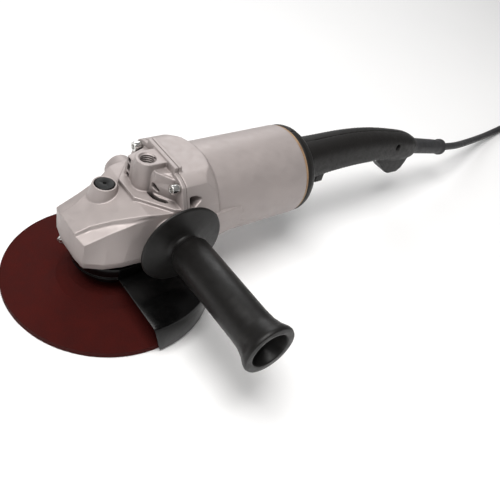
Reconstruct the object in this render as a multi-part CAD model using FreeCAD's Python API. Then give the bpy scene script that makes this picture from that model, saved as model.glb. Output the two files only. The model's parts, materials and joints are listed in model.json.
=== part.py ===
import FreeCAD, Part
import math
import os
from FreeCAD import Vector

os.makedirs("parts", exist_ok=True)

# Angle grinder for 180 mm depressed-centre wheels, with a side handle and a rear trigger handle.
# Millimetres. +Z is the spindle axis and points away from the wheel, +X is the motor axis and points
# to the rear handle, -Y is the side that the side handle is screwed into.
# The origin is the centre of the spindle's free lower end.

# ---- fits and clearances
bearing_gap = 0.02        # radial, journal in bearing and bearing in seat
sliding_gap = 0.05        # radial, sliding pin, bush and clamped collar
thread_gap = 0.05         # radial, threads are drawn plain at their nominal size
casing_gap = 0.3          # between neighbouring parts that must not touch
face_gap = 0.2            # between a captive part and the wall beside it

# ---- wheel and what clamps it
wheel_radius = 90.0
wheel_thickness = 6.0
wheel_underside = -1.0
wheel_recess = 8.0
hub_inner_radius = 35.0
hub_outer_radius = 44.0
wheel_bore_radius = 11.1
flange_radius = 20.0
lock_nut_thickness = 4.5
inner_flange_thickness = 5.0
pilot_height = 2.8
thread_radius = 7.0       # M14
free_end_length = 2.4     # of the spindle, below the lock nut

# ---- spindle and gears
spindle_radius = 9.5
spindle_journal_radius = 8.5
gear_seat_radius = 8.0
spindle_tip_radius = 6.0
lower_bearing_radius = 20.0
lower_bearing_width = 12.0
bush_radius = 9.0
bush_height = 8.0
gear_teeth = 37
pinion_teeth = 12
gear_pitch_radius = 26.0
gear_face_width = 8.5
tooth_addendum_share = 0.8
tooth_dedendum_share = 1.2
tooth_slack = 0.16        # share of the tooth's width taken off for backlash
pressure_angle = 20.0
motor_axis_z = 78.3

# ---- gear head
head_bottom_z = 52.0
head_front_x = -40.8
head_front_z = 76.5
head_front_half_width = 13.0
head_level_z = 96.0
head_level_x = 11.0
platform_front_x = 8.5
platform_front_half_width = 12.7
platform_rise = 3.2
parting_x = 41.0
head_flange_thickness = 4.0
head_screw_head_length = 7.0    # with its captive spring washer
flange_half_width = 43.3
flange_corner_radius = 21.0
box_plate_z = 46.0
spigot_radius = lower_bearing_radius + 9.8
gear_chamber_radius = lower_bearing_radius + 10.5
gear_chamber_top_z = 74.5
handle_boss_x = 30.0
handle_boss_z = 78.9
handle_boss_radius = 12.5
handle_boss_reach = 52.0
handle_hole_depth = 17.0
top_boss_x = 25.0
top_boss_z = 125.0
top_boss_radius = 10.2
top_hole_depth = 19.0

# ---- spindle lock
lock_x = -4.3
lock_y = 11.5
lock_boss_radius = 10.0
lock_boss_slope = 0.26
lock_boss_top_z = 98.3
lock_cap_radius = 8.3
lock_cap_rise = 0.3
lock_cap_height = 3.6
lock_travel = 4.0
lock_pin_radius = 2.5
lock_recess_floor_z = 89.3

# ---- guard
guard_radius = 93.5
guard_sheet = 1.8
guard_top_z = 30.1
guard_bottom_z = 1.0
guard_front_x = -8.1     # front edge on the side handle's side
guard_front_lean = 0.3    # the front edge runs back this much per millimetre of depth
guard_far_front_x = 22.0  # front edge on the other side
guard_collar_top_z = 43.0
guard_opening_radius = spigot_radius - 3.8
clamp_band_thickness = 2.0
clamp_angle = 135.0       # from +X, where the clamp's ears are

# ---- motor housing and motor
barrel_radius = 43.0
barrel_wall = 3.8
barrel_length = 135.3     # from the parting plane
barrel_rear_x = parting_x + barrel_length
collar_end_x = parting_x + 34.3
collar_crown_radius = 52.5
vent_x = parting_x + 2.6  # outlet in each side of the collar
vent_width = 4.8
vent_z = 99.0
vent_height = 9.5
front_wall = 4.0
front_opening_radius = 26.0
top_bar_rear_x = parting_x + 3.3
top_bar_half_length = 21.5
top_bar_z = 126.7
shaft_radius = 6.0
shaft_end_radius = 4.0
front_bearing_radius = 16.0
front_bearing_width = 10.0
rear_bearing_radius = 11.0
rear_bearing_width = 7.0
fan_radius = 36.0
fan_front_x = parting_x + 5.5
fan_depth = 13.0
core_front_x = fan_front_x + 27.5
core_length = 46.0
armature_radius = 22.0
air_gap = 1.0
commutator_radius = 13.0
commutator_front_x = core_front_x + core_length + 13.0
commutator_length = 18.0
rear_bearing_x = commutator_front_x + commutator_length + 9.0
brush_x = commutator_front_x + 4.5

# ---- rear handle, drawn for a barrel that ends at this place and moved with the barrel's end
handle_datum_x = 176.3
gasket_thickness = 2.5
handle_shell = 3.0
bell_front_radius = 42.6
trigger_front_x = 243.0
trigger_rear_x = 318.0
trigger_half_width = 7.0
trigger_pivot = (314.0, 67.0)
trigger_pin_radius = 1.5
lever_pivot = (236.5, 68.0)
lever_pin_radius = 1.2
switch_bottom_z = 78.0
handle_screw_places = ((214.0, 94.0), (222.0, 70.0), (290.0, 94.0), (342.0, 79.5), (361.0, 45.0))
near_screw_place = (342.0, 79.5)   # this one goes in from the side handle's side, the others from +Y
clamp_x = 360.0
clamp_bar_z = 61.5
guard_root_radius = 10.0
guard_tube_start = (377.0, 65.6)
guard_tube_end = (457.5, 46.8)

# ---- side handle
side_disc_y = -55.9
side_disc_radius = 36.6
side_end_y = -176.6
side_grip_radius = 16.8
side_flare_radius = 22.2

# ---- power cord
cord_diameter = 9.0
floor_z = wheel_underside
coil_centre = (750.0, -17.0)
coil_radii = (39.0, 48.0, 57.0, 66.0)
coil_layers = 2
coil_layer_step = 8.6

X = Vector(1, 0, 0)
Y = Vector(0, 1, 0)
Z = Vector(0, 0, 1)


# ---- plain shapes
def place(axis, along, u, v):
    """Point at `along` on an axis line; u and v are the other two coordinates in X, Y, Z order."""
    if axis is X:
        return Vector(along, u, v)
    if axis is Y:
        return Vector(u, along, v)
    return Vector(u, v, along)


def cyl(axis, radius, start, end, u=0.0, v=0.0):
    return Part.makeCylinder(radius, end - start, place(axis, start, u, v), axis)


def tube(axis, outer, inner, start, end, u=0.0, v=0.0):
    return cyl(axis, outer, start, end, u, v).cut(cyl(axis, inner, start - 1, end + 1, u, v))


def box(x0, x1, y0, y1, z0, z1):
    return Part.makeBox(x1 - x0, y1 - y0, z1 - z0, Vector(x0, y0, z0))


def closed_wire(points):
    return Part.makePolygon(list(points) + [points[0]])


def spin(profile, axis, u=0.0, v=0.0):
    """Solid of revolution: profile points are (radius, distance along the axis)."""
    side = Y if axis is X else X
    wire = closed_wire([place(axis, d, u, v) + side * r for r, d in profile])
    return Part.Face(wire).revolve(place(axis, 0, u, v), axis, 360)


def prism(points, direction):
    return Part.Face(closed_wire(points)).extrude(direction)


def ruled(sections):
    return Part.makeLoft([closed_wire(s) for s in sections], True, True)


def both_sides(half):
    """Closed outline, symmetric about the plane y = 0, from the points of its +Y half."""
    points = [Vector(*p) for p in half]
    return points + [Vector(p.x, -p.y, p.z) for p in reversed(points)]


def fuse(first, *others):
    return first.fuse(list(others)).removeSplitter()


def cut(first, *others):
    return first.cut(list(others)).removeSplitter()


def hexagon(axis, flats, start, end, u=0.0, v=0.0, turn=0.0):
    radius = flats / math.sqrt(3)
    corners = []
    for i in range(6):
        a = math.radians(turn + 60 * i)
        corners.append(place(axis, start, u + radius * math.cos(a), v + radius * math.sin(a)))
    return prism(corners, axis * (end - start))


def rounded_square(half_width, corner, x0, x1, height=None):
    """Block along X about the motor axis with rounded corners."""
    h = height or half_width
    block = box(x0, x1, -half_width, half_width, motor_axis_z - h, motor_axis_z + h)
    edges = [e for e in block.Edges if abs(e.tangentAt(e.FirstParameter).x) > 0.9]
    return block.makeFillet(corner, edges)


def corner_facets(x0, x1):
    """What a flat facet takes off the upper corners of the flange and the collar."""
    top = (flange_half_width - 6.9, motor_axis_z + 36.7)
    foot = (flange_half_width, motor_axis_z + 20.2)
    above = (2 * top[0] - foot[0], 2 * top[1] - foot[1])
    outline = (above, foot, (flange_half_width + 20, foot[1]), (flange_half_width + 20, above[1]))
    return [prism([Vector(x0, s * y, z) for y, z in outline], X * (x1 - x0)) for s in (-1, 1)]


def socket_screw(axis, head_radius, head_length, shank_radius, face, shank_end, u, v):
    """Socket head cap screw: the head stands on `face`, on the side away from `shank_end`."""
    way = 1 if shank_end > face else -1
    head_top = face - way * head_length
    low, high = sorted((face, head_top))
    head = cyl(axis, head_radius, low, high, u, v)
    low, high = sorted((face, shank_end))
    shank = cyl(axis, shank_radius, low, high, u, v)
    low, high = sorted((head_top, head_top + way * head_length * 0.6))
    socket = hexagon(axis, head_radius, low, high, u, v)
    return fuse(head, shank).cut(socket)


rear_nodes = (
    "rear_handle_left", "rear_handle_right", "handle_screws", "switch_body", "trigger", "trigger_pin",
    "trigger_spring", "lock_off_lever", "lock_off_pin", "cord_clamp", "cord_clamp_screws", "cord_lead",
    "cord_guard", "power_cord", "power_cord_end", "cord_coil", "plug_body", "plug_pins")
nodes = {}


def keep(name, shape):
    nodes[name] = shape


# ---- heights that follow from the sizes above
hub_underside = wheel_underside + wheel_recess
spigot_bottom_z = guard_top_z + casing_gap
hub_top = hub_underside + wheel_thickness
flange_shoulder_z = hub_top + inner_flange_thickness
bearing_bottom_z = box_plate_z - lower_bearing_width
barrel_bore = barrel_radius - barrel_wall
pinion_pitch_radius = gear_pitch_radius * pinion_teeth / gear_teeth
head_slope = (head_level_z - head_front_z) / (head_level_x - head_front_x)
cap_bottom_z = lock_boss_top_z - lock_cap_height + lock_cap_rise
web_top_z = gear_chamber_top_z - 9.5
gear_bottom_z = 58.0
shoulder_drop = 4.9
front_bearing_x = parting_x + 1.0 - front_bearing_width
head_screw_half_pitch_y = 30.6
head_screw_half_pitch_z = 35.6
head_screw_pocket = 5.0


# ---- grinding wheel, its flange and nut
def make_wheel_parts():
    top = wheel_underside + wheel_thickness
    keep("grinding_wheel", spin([
        (wheel_bore_radius, hub_underside), (hub_inner_radius - 1, hub_underside),
        (hub_outer_radius - 1, wheel_underside), (wheel_radius, wheel_underside),
        (wheel_radius, top), (hub_outer_radius, top),
        (hub_inner_radius, hub_top), (wheel_bore_radius, hub_top)], Z))
    pilot = wheel_bore_radius - sliding_gap
    bore = thread_radius + sliding_gap
    keep("inner_flange", spin([
        (bore, flange_shoulder_z), (bore, hub_top - pilot_height), (pilot, hub_top - pilot_height),
        (pilot, hub_top), (flange_radius, hub_top), (flange_radius, flange_shoulder_z - 1.5),
        (flange_radius - 1.5, flange_shoulder_z)], Z))
    nut_bottom = hub_underside - lock_nut_thickness
    pilot_top = hub_top - pilot_height - face_gap
    nut = spin([
        (bore, nut_bottom), (flange_radius - 1, nut_bottom), (flange_radius, nut_bottom + 1),
        (flange_radius, hub_underside), (pilot, hub_underside), (pilot, pilot_top),
        (bore, pilot_top)], Z)
    for side in (-1, 1):
        nut = nut.cut(cyl(Z, 2.6, nut_bottom - 1, hub_underside + 1, side * 15.0, 0))
    keep("lock_nut", nut)


# ---- spindle with its bearings
def make_spindle_parts():
    keep("spindle", spin([
        (0, 0), (thread_radius, 0), (thread_radius, free_end_length), (thread_radius - 0.6, free_end_length),
        (thread_radius - 0.6, free_end_length + 0.6), (thread_radius, free_end_length + 0.6),
        (thread_radius, flange_shoulder_z),
        (spindle_radius, flange_shoulder_z), (spindle_radius, bearing_bottom_z),
        (spindle_journal_radius, bearing_bottom_z), (spindle_journal_radius, gear_bottom_z),
        (gear_seat_radius, gear_bottom_z), (gear_seat_radius, 68), (spindle_tip_radius, 68),
        (spindle_tip_radius, gear_chamber_top_z + bush_height), (0, gear_chamber_top_z + bush_height)], Z))
    ring = tube(Z, lower_bearing_radius, spindle_journal_radius + bearing_gap, bearing_bottom_z,
                box_plate_z)
    for face in (bearing_bottom_z - 0.2, box_plate_z - 1.0):
        ring = ring.cut(tube(Z, 16.5, 12.0, face, face + 1.2))
    keep("spindle_bearing", ring)
    keep("bearing_retainer", cut(
        tube(Z, lower_bearing_radius + 7.8, 12.5, box_plate_z, box_plate_z + 3),
        *[cyl(Z, 2.1, box_plate_z - 1, box_plate_z + 4, *round_place(lower_bearing_radius + 4, 60 + 120 * i)) for i in range(3)]))
    keep("retainer_screws", Part.makeCompound([
        socket_screw(Z, 3.2, 2.8, 1.95, box_plate_z + 3, 38, *round_place(lower_bearing_radius + 4, 60 + 120 * i))
        for i in range(3)]))
    keep("spindle_bush", tube(Z, bush_radius, spindle_tip_radius + sliding_gap,
                              gear_chamber_top_z + 0.5, gear_chamber_top_z + bush_height))


def round_place(radius, degrees):
    return radius * math.cos(math.radians(degrees)), radius * math.sin(math.radians(degrees))


# ---- bevel gears: both pitch cones meet at the crossing of the two axes
def bevel_teeth(count, own_pitch, other_pitch, phase, slack):
    """Teeth along +Z with the cone's tip at the origin, as solids between two scaled sections."""
    cone = math.hypot(own_pitch, other_pitch)
    inner_scale = 1 - gear_face_width / cone
    module = 2 * own_pitch / count
    addendum = tooth_addendum_share * module
    dedendum = tooth_dedendum_share * module + 0.3
    half = math.pi * module / 4 * (1 - slack)
    lean = math.tan(math.radians(pressure_angle))
    outward = Vector(other_pitch / cone, 0, -own_pitch / cone)
    pitch_point = Vector(own_pitch, 0, other_pitch)
    section = []
    for depth, width in ((addendum, half - addendum * lean), (0, half), (-dedendum, half + 0.35 * dedendum)):
        section.append(pitch_point + outward * depth + Y * width)
    section += [Vector(p.x, -p.y, p.z) for p in reversed(section)]
    tooth = ruled([section, [p * inner_scale for p in section]])
    teeth = []
    for i in range(count):
        copy = tooth.copy()
        copy.rotate(Vector(0, 0, 0), Z, phase + 360.0 * i / count)
        teeth.append(copy)
    return teeth, inner_scale, module


def make_gears():
    apex = Vector(0, 0, motor_axis_z)
    teeth, inner, module = bevel_teeth(gear_teeth, gear_pitch_radius, pinion_pitch_radius,
                                       180.0 / gear_teeth, tooth_slack)
    cone = math.hypot(gear_pitch_radius, pinion_pitch_radius)
    root_depth = tooth_dedendum_share * module
    root_r = gear_pitch_radius - root_depth * pinion_pitch_radius / cone
    root_drop = pinion_pitch_radius + root_depth * gear_pitch_radius / cone
    root_z = motor_axis_z - root_drop
    inner_root_r = root_r * inner
    inner_root_z = motor_axis_z - root_drop * inner
    blank = spin([
        (gear_seat_radius + bearing_gap, gear_bottom_z), (20, gear_bottom_z), (root_r - 0.5, root_z - 1.5),
        (root_r, root_z), (inner_root_r, inner_root_z), (16.3, inner_root_z - 0.6), (16.3, web_top_z),
        (9, web_top_z), (9, 68), (gear_seat_radius + bearing_gap, 68)], Z)
    ring = []
    for tooth in teeth:
        tooth.rotate(Vector(0, 0, 0), X, 180)
        tooth.translate(apex)
        ring.append(tooth)
    gear = fuse(blank, *ring)
    hole_place = math.hypot(lock_x, lock_y)
    hole_angle = math.degrees(math.atan2(lock_y, lock_x))
    holes = [cyl(Z, lock_pin_radius + 0.5, gear_bottom_z - 1, web_top_z + 1,
                 *round_place(hole_place, hole_angle + 90 * i)) for i in range(4)]
    keep("bevel_gear", gear.cut(holes))

    teeth, inner, module = bevel_teeth(pinion_teeth, pinion_pitch_radius, gear_pitch_radius, 180.0, tooth_slack)
    root_r = pinion_pitch_radius - root_depth * gear_pitch_radius / cone
    root_x = gear_pitch_radius + root_depth * pinion_pitch_radius / cone
    bore = shaft_end_radius + bearing_gap
    hub_front_x = 16.6
    blank = spin([
        (bore, hub_front_x), (root_r * inner, hub_front_x), (root_r * inner, root_x * inner),
        (root_r, root_x), (root_r, shoulder_x), (bore, shoulder_x)], X, 0, motor_axis_z)
    ring = []
    for tooth in teeth:
        tooth.rotate(Vector(0, 0, 0), Y, 90)
        tooth.translate(apex)
        ring.append(tooth)
    keep("pinion", fuse(blank, *ring))
    nut = hexagon(X, 10.4, 10.6, hub_front_x, 0, motor_axis_z)
    keep("pinion_nut", nut.cut(cyl(X, bore, 9, 18, 0, motor_axis_z)))


# ---- gear head
shoulder_x = front_bearing_x - face_gap


def head_plane(x, drop=0.0):
    return head_front_z - drop + head_slope * (x - head_front_x)


def head_outline(z, inset=0.0):
    half = [(-39.8 + inset, 13 - inset), (-37.9 + inset, 24.2 - inset), (-23, 32 - inset),
            (-8, 35.5 - inset), (14, 37 - inset), (parting_x, 38.5 - inset)]
    return [(x, y, z) for x, y in half]


def screw_places():
    return [(sy * head_screw_half_pitch_y, motor_axis_z + sz * head_screw_half_pitch_z)
            for sy in (-1, 1) for sz in (-1, 1)]


def make_gear_housing():
    shoulder = [(-40.4, 13), (-38.1, 25.2), (-18, 27.6), (2.3, 31.4), (18.2, 36.2), (parting_x, 40.5)]
    panel = [(head_front_x, 13), (-40, 13.3), (-27.9, 14.4), (-12.2, 20.9), (11.8, 34), (parting_x, 40.4)]
    step = [(head_front_x, 13.6, 0.9), (-40.2, 14.2, 2.6), (-27.9, 15.9, 3.2), (-12.2, 22.2, 3.0),
            (11.8, 34.6, 1.6), (parting_x, 40.4, 0.3)]
    body = ruled([
        both_sides(head_outline(head_bottom_z)),
        both_sides([(x, y, head_plane(x, shoulder_drop)) for x, y in shoulder]),
        both_sides([(x, y, head_plane(x, drop)) for x, y, drop in step]),
        both_sides([(x, y, head_plane(x)) for x, y in panel])])
    body = body.cut(box(-60, 60, -60, 60, head_level_z, 140))
    flange_x = parting_x - head_flange_thickness
    flange = rounded_square(flange_half_width, flange_corner_radius, flange_x, parting_x)
    platform = prism([Vector(x, y, head_level_z - 2) for x, y in (
        (platform_front_x, platform_front_half_width), (31.5, 38.2), (parting_x, 42), (parting_x, -42),
        (31.5, -38.2), (platform_front_x, -platform_front_half_width))], Z * (platform_rise + 2))
    platform = platform.common(rounded_square(flange_half_width, flange_corner_radius, 0, parting_x))
    hump = ruled([
        [Vector(24.5, y, z) for y, z in ((0, 118), (0, 95), (-11, 95), (-11.5, 108), (-10.5, 118))],
        [Vector(flange_x + 1, y, z) for y, z in ((0, 120), (0, 95), (-31, 95), (-30.5, 107), (-20, 120))]])
    far_hump = ruled([
        [Vector(16.5, y, z) for y, z in ((6, 119), (6, 95), (18, 95), (17.5, 110), (15, 119))],
        [Vector(flange_x + 1, y, z) for y, z in ((6, 120.5), (6, 95), (37, 95), (34, 107), (24, 117))]])
    boss = cyl(Z, top_boss_radius, 90, top_boss_z, top_boss_x, 0)
    web = box(top_boss_x, parting_x, -top_boss_radius + 0.1, top_boss_radius - 0.1, 100, top_boss_z)
    bar = box(flange_x, parting_x, -top_bar_half_length, top_bar_half_length, 112, top_bar_z)
    pad = ruled([
        [Vector(25.5, y, z) for y, z in ((0, 119.5), (0, 110), (-13.2, 110.5), (-12.2, 119.5))],
        [Vector(flange_x + 0.5, y, z) for y, z in ((0, 121), (0, 100), (-25.5, 103), (-26.5, 117.5))]])
    ears = [cyl(Y, handle_boss_radius, -handle_boss_reach, -33, handle_boss_x, handle_boss_z),
            cyl(Y, handle_boss_radius, 33, handle_boss_reach, handle_boss_x, handle_boss_z)]
    seat_height = lock_boss_top_z - 76
    seat = Part.makeCone(lock_boss_radius + lock_boss_slope * seat_height, lock_boss_radius, seat_height,
                         Vector(lock_x, lock_y, 76), Z)
    solid = fuse(body, flange, platform, hump, far_hump, boss, web, bar, pad, seat, *ears)
    solid = solid.cut(corner_facets(0, parting_x + 1))

    hollow = [
        cyl(Z, gear_chamber_radius, head_bottom_z - 1, gear_chamber_top_z),
        cyl(Z, bush_radius, gear_chamber_top_z - 1, gear_chamber_top_z + bush_height + 0.5),
        cyl(X, 11.5, 9.6, front_bearing_x + 1, 0, motor_axis_z),
        cyl(X, front_bearing_radius + bearing_gap, front_bearing_x, parting_x + 1, 0, motor_axis_z),
        cyl(Z, lock_cap_radius + casing_gap, lock_recess_floor_z, lock_boss_top_z + 1, lock_x, lock_y),
        cyl(Z, lock_pin_radius + sliding_gap, gear_chamber_top_z - 2, lock_recess_floor_z + 1, lock_x, lock_y),
        cyl(Z, thread_radius, top_boss_z - top_hole_depth, top_boss_z + 1, top_boss_x, 0),
        cyl(Z, collar_clear_radius, 20, box_plate_z - 0.1),
    ]
    for y, z in screw_places():
        hollow.append(cyl(X, 2.6, 10, parting_x + 1, y, z))
        hollow.append(cyl(X, head_screw_pocket, 12, flange_x, y, z))
    for side in (-1, 1):
        low, high = sorted((side * (handle_boss_reach + 1), side * (handle_boss_reach - handle_hole_depth)))
        hollow.append(cyl(Y, thread_radius, low, high, handle_boss_x, handle_boss_z))
    # air leaves the fan chamber through slots in the hump, beside and in front of the boss
    for z0, z1 in ((99.4, 103.2), (104.9, 111.9), (113.6, 117.6)):
        hollow.append(box(12, flange_x - 3, 10.6, 14.6, z0, z1))
    oval = ruled([
        [Vector(x, y, z) for y, z in ((-11.2, 109), (-13.4, 108.4), (-17.6, 103.2), (-16.2, 102), (-11.4, 104.5))]
        for x in (19, flange_x - 3)])
    hollow.append(oval)
    hollow.append(prism([Vector(x, y, 81) for x, y in (
        (22.2, -9.8), (21.6, -14), (22.4, -19.5), (25.2, -24.4), (29.2, -28.4), (31.8, -28.8), (31.8, -25),
        (27.8, -20.5), (25.8, -15.5), (25.4, -11.4))], Z * 26))
    solid = solid.cut(hollow)
    for y0, y1, x0, x1 in ((-11.5, 8.0, -36.9, -36.2), (-11.5, -10.8, -36.9, -33.5)):
        groove = box(x0, x1, y0, y1, 70, 90)
        skin = prism([Vector(x, -20, head_plane(x) + dz) for x, dz in (
            (-40, -0.5), (-30, -0.5), (-30, 1), (-40, 1))], Y * 40)
        solid = solid.cut(groove.common(skin))
    keep("gear_housing", solid.removeSplitter())


def make_bearing_box():
    plate = ruled([
        both_sides([(min(x, parting_x - head_flange_thickness - casing_gap), y, z)
                    for x, y, z in head_outline(box_plate_z, 1.6)]),
        both_sides([(min(x, parting_x - head_flange_thickness - casing_gap), y, z)
                    for x, y, z in head_outline(head_bottom_z, 0.3)])])
    solid = fuse(plate, cyl(Z, spigot_radius, spigot_bottom_z, box_plate_z + 1))
    hollow = [
        cyl(Z, lower_bearing_radius + 8, box_plate_z, head_bottom_z + 1),
        cyl(Z, lower_bearing_radius + bearing_gap, bearing_bottom_z, box_plate_z + 1),
        cyl(Z, 13, spigot_bottom_z - 1, bearing_bottom_z + 1),
    ]
    for i in range(3):
        hollow.append(cyl(Z, 2.0, 37.5, box_plate_z + 1, *round_place(lower_bearing_radius + 4, 60 + 120 * i)))
    for x, y in box_screw_places:
        hollow.append(cyl(Z, 2.1, box_plate_z - 1, head_bottom_z + 1, x, y))
    for y, z in screw_places():
        hollow.append(cyl(X, head_screw_pocket, 12, parting_x, y, z))
    keep("bearing_box", cut(solid, *hollow))


box_screw_places = [(-33.0, -17.0), (-33.0, 17.0), (15.0, -31.2), (15.0, 31.2)]
collar_clear_radius = spigot_radius + sliding_gap + guard_sheet + clamp_band_thickness + 2.0


def make_head_screws():
    face = parting_x - head_flange_thickness
    keep("head_screws", Part.makeCompound([
        socket_screw(X, 4.1, head_screw_head_length, 2.5, face, parting_x + 15, y, z) for y, z in screw_places()]))
    keep("bearing_box_screws", Part.makeCompound([
        socket_screw(Z, 3.5, 2.6, 2.0, box_plate_z, head_bottom_z + 7, x, y) for x, y in box_screw_places]))
    nodes["gear_housing"] = nodes["gear_housing"].cut(
        [cyl(Z, 2.0 + sliding_gap, head_bottom_z - 1, head_bottom_z + 8, x, y) for x, y in box_screw_places])


def make_spindle_lock():
    cap = cyl(Z, lock_cap_radius, cap_bottom_z, cap_bottom_z + lock_cap_height, lock_x, lock_y)
    rim = [e for e in cap.Edges if e.BoundBox.ZMin > cap_bottom_z + lock_cap_height - 0.1
           and e.BoundBox.ZLength < 0.1]
    cap = cap.makeFillet(1.0, rim)
    dimple = cyl(Z, 1.3, cap_bottom_z + lock_cap_height - 1.2, cap_bottom_z + 10, lock_x, lock_y)
    keep("lock_button", cap.cut(dimple))
    keep("lock_pin", cyl(Z, lock_pin_radius, web_top_z + 1.4, cap_bottom_z, lock_x, lock_y))
    keep("lock_spring", helix_spring(4.6, 0.5, lock_recess_floor_z, cap_bottom_z, 4, Vector(lock_x, lock_y, 0)))


def helix_spring(radius, wire, start, end, turns, centre):
    """Compression spring drawn as a stack of rings, joined by a thin sleeve on their inside."""
    rings = []
    step = (end - start - 2 * wire) / (turns - 1)
    for i in range(turns):
        rings.append(Part.makeTorus(radius, wire, centre + Z * (start + wire + step * i), Z))
    sleeve = tube(Z, radius - wire * 0.4, radius - wire * 0.9, start, end, centre.x, centre.y)
    return fuse(sleeve, *rings)


# ---- wheel guard with its clamp
def make_guard():
    collar_in = spigot_radius + sliding_gap
    collar_out = collar_in + guard_sheet
    profile = [
        (guard_opening_radius, guard_top_z - guard_sheet), (guard_radius - 4.5, guard_top_z - guard_sheet),
        (guard_radius - guard_sheet - 0.8, guard_top_z - guard_sheet - 1.1),
        (guard_radius - guard_sheet, guard_top_z - 4.5),
        (guard_radius - guard_sheet, guard_bottom_z), (guard_radius, guard_bottom_z),
        (guard_radius, guard_top_z - 4), (guard_radius - 1.2, guard_top_z - 1.2),
        (guard_radius - 4, guard_top_z), (guard_opening_radius, guard_top_z)]
    back = guard_front_x + guard_front_lean * (guard_top_z + 10)
    ahead = prism([Vector(back, -110, -10), Vector(-110, -110, -10), Vector(-110, -110, guard_top_z + 1),
                   Vector(guard_front_x, -110, guard_top_z + 1), Vector(guard_front_x, -110, guard_top_z)], Y * 110)
    far_ahead = box(-110, guard_far_front_x, 0, 110, -10, guard_top_z + 1)
    shell = spin(profile, Z).cut([ahead, far_ahead])
    ring = tube(Z, collar_out + 1, guard_opening_radius, guard_top_z - guard_sheet, guard_top_z)
    collar = tube(Z, collar_out, collar_in, guard_top_z - guard_sheet, guard_collar_top_z)
    keep("wheel_guard", fuse(shell, ring, collar))
    band_in = collar_out + 0.02
    band_out = band_in + clamp_band_thickness
    band = tube(Z, band_out, band_in, 33, 42)
    ears = box(band_in + 0.5, band_out + 9, -5.5, 5.5, 33, 42)
    gap = box(band_in - 1, band_out + 10, -1.5, 1.5, 32, 43)
    hole = cyl(Y, 2.6, -7, 7, band_out + 5, 37.5)
    band = cut(fuse(band, ears), gap, hole)
    screw = socket_screw(Y, 4.0, 4.5, 2.5, -5.5, 9.5, band_out + 5, 37.5)
    nut = hexagon(Y, 8, 5.5, 9.2, band_out + 5, 37.5).cut(hole.fuse(cyl(Y, 2.55, 0, 12, band_out + 5, 37.5)))
    for name, shape in (("guard_clamp_band", band), ("guard_clamp_screw", screw), ("guard_clamp_nut", nut)):
        shape.rotate(Vector(0, 0, 0), Z, clamp_angle)
        keep(name, shape)


# ---- motor housing
def make_motor_housing():
    crown = spin([(0, parting_x), (collar_crown_radius, parting_x), (collar_crown_radius, collar_end_x - 14.3),
                  (48.2, collar_end_x - 4.3), (barrel_radius + 0.9, collar_end_x), (0, collar_end_x)], X, 0, motor_axis_z)
    collar = rounded_square(flange_half_width, flange_corner_radius, parting_x, collar_end_x + 1).common(crown)
    barrel = cyl(X, barrel_radius, collar_end_x - 2, barrel_rear_x, 0, motor_axis_z)
    bar = box(parting_x, top_bar_rear_x, -top_bar_half_length, top_bar_half_length, 112, top_bar_z)
    ridges = []
    for s in (-1, 1):
        ridges.append(ruled([
            [Vector(collar_end_x - 4, s * y, z) for y, z in ((30, 88.2), (45.6, 88.2), (47, 78), (44, 58), (30, 56))],
            [Vector(collar_end_x + 48.7, s * y, z) for y, z in ((30, 86.5), (40.2, 86.5), (41.5, 80), (41, 68), (30, 66))]]))
    solid = fuse(collar, barrel, bar, *ridges)
    solid = solid.cut([
        cyl(X, barrel_bore, parting_x + front_wall, barrel_rear_x + 1, 0, motor_axis_z),
        cyl(X, front_opening_radius, parting_x - 1, parting_x + front_wall + 1, 0, motor_axis_z),
        cyl(Y, handle_boss_radius + casing_gap, -60, -30, handle_boss_x, handle_boss_z),
        cyl(Y, handle_boss_radius + casing_gap, 30, 60, handle_boss_x, handle_boss_z),
    ])
    for s in (-1, 1):
        low, high = sorted((s * 60, s * 25))
        solid = solid.cut(box(vent_x, vent_x + vent_width, low, high, vent_z, vent_z + vent_height))
        ramp = ruled([
            [Vector(vent_x + vent_width - 0.1, s * y, z) for y, z in (
                (34, vent_z + 1), (60, vent_z + 1), (60, vent_z + vent_height), (34, vent_z + vent_height))],
            [Vector(vent_x + vent_width + 8, s * y, z) for y, z in (
                (41.5, vent_z + 6.5), (60, vent_z + 6.5), (60, vent_z + 7.5), (41.5, vent_z + 7.5))]])
        solid = solid.cut(ramp)
    solid = solid.cut(corner_facets(parting_x - 1, collar_end_x - 3))
    holes = [cyl(X, 2.5 + sliding_gap, parting_x - 1, parting_x + 16, y, z) for y, z in screw_places()]
    keep("motor_housing", solid.cut(holes).removeSplitter())
    rear = barrel_rear_x + gasket_thickness
    keep("rear_gasket", tube(X, bell_front_radius - 0.2, 37.0, barrel_rear_x, rear, 0, motor_axis_z))


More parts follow.
